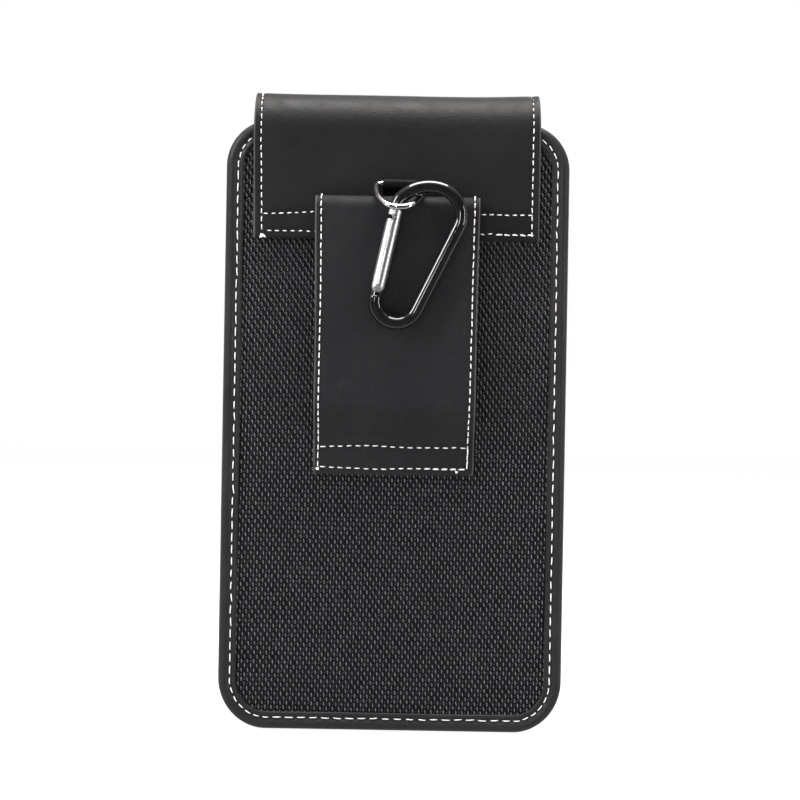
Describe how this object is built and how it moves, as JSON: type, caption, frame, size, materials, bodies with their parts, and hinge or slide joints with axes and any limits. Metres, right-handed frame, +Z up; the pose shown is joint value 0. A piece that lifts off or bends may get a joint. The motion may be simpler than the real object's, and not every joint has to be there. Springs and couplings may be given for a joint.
{
  "type": "phone belt holster",
  "caption": "Flat upright phone pouch with a magnetic flap over its mouth, a sewn belt loop on its back and a spring carabiner on a D-ring.",
  "frame": {"origin": "middle of the belt slot, halfway between the woven back panel and the belt loop", "axes": "+X along the belt, to the right as the belt loop is seen; +Z up to the flap; +Y through the pouch from the belt loop to the pouch's front"},
  "size_m": [0.0952, 0.035, 0.1774],
  "materials": {
    "black_leather": "matte smooth-grained synthetic leather with light turned edges",
    "woven_nylon": "coarse ballistic weave, slight sheen on the ribs",
    "stiff_board": "pressed black board",
    "soft_lining": "short-napped lining cloth",
    "magnet_steel": "plated",
    "bright_plating": "polished nickel plating",
    "black_anodised": "glossy black",
    "bare_aluminium": "bright turned aluminium",
    "pin_steel": "satin"
  },
  "bodies": {
    "root": {"back_border": "black_leather", "front_border": "black_leather", "back_panel": "woven_nylon", "front_panel": "woven_nylon", "back_board": "stiff_board", "front_board": "stiff_board", "closure_plate": "magnet_steel", "side_gusset": "black_leather", "pocket_lining": "soft_lining", "flap_tail_leather": "black_leather", "flap_tail_backing": "soft_lining", "belt_loop": "black_leather", "belt_loop_lining": "soft_lining", "ring_tab": "black_leather"},
    "flap": {"flap_cover": "black_leather", "flap_lining": "soft_lining", "flap_magnet": "magnet_steel"},
    "ring": {"d_ring": "bright_plating"},
    "carabiner": {"carabiner_body": "black_anodised", "gate_hinge_pin": "pin_steel", "nose_catch_pin": "pin_steel"},
    "gate": {"carabiner_gate": "bare_aluminium", "gate_plunger": "pin_steel", "gate_spring": "pin_steel"}
  },
  "joints": [
    {"name": "flap_hinge", "type": "hinge", "parent": "root", "child": "flap", "pos_m": [0, 0.002, 0.0615], "axis": [1, 0, 0], "range_deg": [0, 135]},
    {"name": "ring_tilt", "type": "hinge", "parent": "root", "child": "ring", "pos_m": [0.0005, 0.0006, 0.0438], "axis": [1, 0, 0], "range_deg": [-35, 0]},
    {"name": "carabiner_swing", "type": "hinge", "parent": "ring", "child": "carabiner", "pos_m": [0.00875, -0.00765, 0.03147], "axis": [0, 1, 0], "range_deg": [-34, 5]},
    {"name": "gate_hinge", "type": "hinge", "parent": "carabiner", "child": "gate", "pos_m": [-0.00494, -0.00765, 0.01497], "axis": [0, 1, 0], "range_deg": [0, 24], "stiffness_Nm_per_rad": 0.02, "springref_deg": -14.32}
  ]
}
